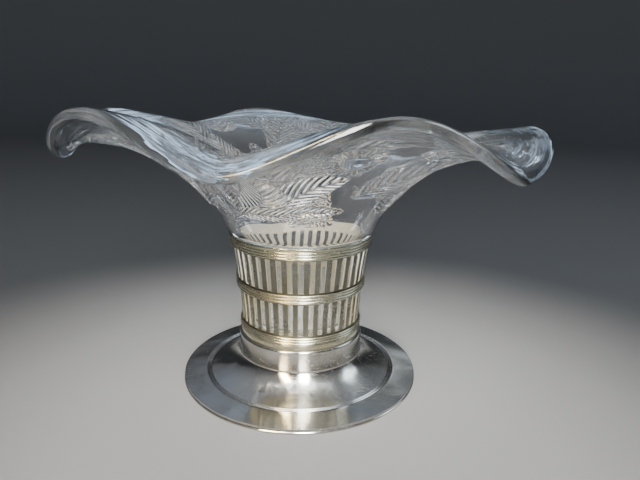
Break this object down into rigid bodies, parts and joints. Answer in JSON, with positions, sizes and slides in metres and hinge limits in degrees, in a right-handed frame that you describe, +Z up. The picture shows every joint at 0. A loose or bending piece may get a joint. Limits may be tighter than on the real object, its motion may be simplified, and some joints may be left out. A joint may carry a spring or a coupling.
{
  "type": "posy holder",
  "caption": "Posy holder: a ruffled clear-glass bowl whose hollow stem stands in a pierced, reeded metal gallery on a round spun foot.",
  "frame": {"origin": "centre of the circle that the foot stands on, at the level of the table; the glass reaches equally far to each side of it", "axes": "+Z up along the axis of the foot and gallery, -Y towards the viewer of the picture, +X to the viewer's right"},
  "size_m": [0.2245, 0.2225, 0.1393],
  "materials": {
    "plated_silver": "old silver plate, polished, cool grey with fine wear",
    "gallery_silver": "old silver plate, warmer and slightly tarnished",
    "steel": "dull plated steel",
    "clear_glass": "clear pressed glass with a feather pattern on the lower bowl"
  },
  "bodies": {
    "holder": {"foot_edge_wire": "plated_silver", "spun_foot": "plated_silver", "gallery_stud": "steel", "foot_washer": "steel", "foot_nut": "steel", "seat_plate": "plated_silver", "gallery_sleeve": "gallery_silver", "lower_moulding": "gallery_silver", "middle_moulding": "gallery_silver", "rim_moulding": "gallery_silver"},
    "glass": {"glass_bowl": "clear_glass"}
  },
  "joints": [
    {"name": "glass_lift", "type": "slide", "parent": "holder", "child": "glass", "axis": [0, 0, 1], "range_m": [0, 0.06]}
  ]
}
